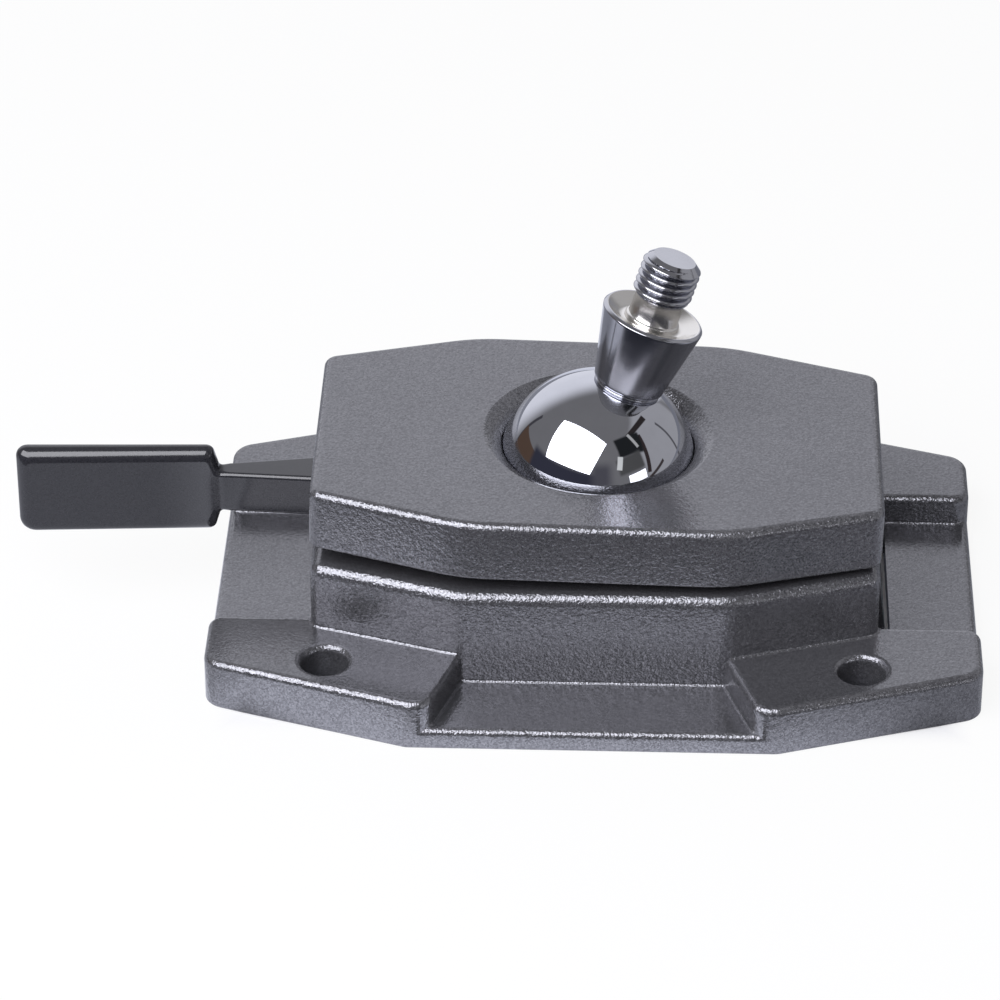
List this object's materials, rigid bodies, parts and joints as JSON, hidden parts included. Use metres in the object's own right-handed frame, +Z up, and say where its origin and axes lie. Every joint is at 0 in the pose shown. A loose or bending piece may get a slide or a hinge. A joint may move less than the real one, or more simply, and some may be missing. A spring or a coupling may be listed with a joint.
{
  "type": "ball vise",
  "caption": "Bench ball vise base: a chromed ball and threaded stud held in a cup under a hinged clamp plate that a flat lever tightens.",
  "frame": {"origin": "middle of the base's underside", "axes": "+Z up, +X from the lever's end towards the hinged end, +Y towards the rear"},
  "size_m": [0.1952, 0.107, 0.0796],
  "materials": {
    "hammer_paint": "dark grey hammer-finish paint on cast iron, glossy and dimpled",
    "chrome": "polished chrome plate",
    "plated_steel": "turned steel with a smooth nickel plate",
    "bright_steel": "bright zinc-plated steel",
    "dark_steel": "oil-blacked steel",
    "black_enamel": "black oxide and enamel, satin",
    "black_vinyl": "dipped black vinyl, glossy",
    "brass": "machined brass",
    "seat_plastic": "moulded acetal, matt"
  },
  "bodies": {
    "base": {"base_casting": "hammer_paint", "hinge_pin": "bright_steel", "seat_spring": "bright_steel", "thrust_washer": "bright_steel", "hub_washer": "bright_steel", "lift_spring_front": "bright_steel", "lift_spring_rear": "bright_steel"},
    "lever": {"lever_arm": "black_enamel", "lever_grip": "black_vinyl", "lever_pin": "dark_steel", "clamp_screw": "bright_steel"},
    "plate": {"clamp_plate": "hammer_paint", "upper_seat_ring": "seat_plastic", "clamp_nut": "brass", "nut_stop_pin": "dark_steel"},
    "seat": {"lower_seat": "seat_plastic"},
    "ball_body": {"ball": "chrome", "neck_ring": "bright_steel", "stud_lock_screw": "dark_steel"},
    "stud": {"ball_stud": "plated_steel"}
  },
  "joints": [
    {"name": "lever_turn", "type": "hinge", "parent": "base", "child": "lever", "pos_m": [-0.039, 0, 0.0268], "axis": [0, 0, 1], "range_deg": [-40, 10]},
    {"name": "plate_tilt", "type": "hinge", "parent": "base", "child": "plate", "pos_m": [0.053, 0, 0.007], "axis": [0, 1, 0], "range_deg": [-0.1, 0.3]},
    {"name": "ball_swivel", "type": "hinge", "parent": "base", "child": "seat", "pos_m": [0, 0, 0.0324], "axis": [0, 0, 1], "continuous": true},
    {"name": "ball_tilt", "type": "hinge", "parent": "seat", "child": "ball_body", "pos_m": [0, 0, 0.0324], "axis": [-0.3322, 0.9432, 0], "range_deg": [-66, 28]},
    {"name": "stud_spin", "type": "hinge", "parent": "ball_body", "child": "stud", "pos_m": [0, 0, 0.0324], "axis": [0.3079, 0.1084, 0.9452], "continuous": true}
  ],
  "couplings": [
    {"joint": "plate_tilt", "follows": "lever_turn", "ratio": -0.00692}
  ]
}
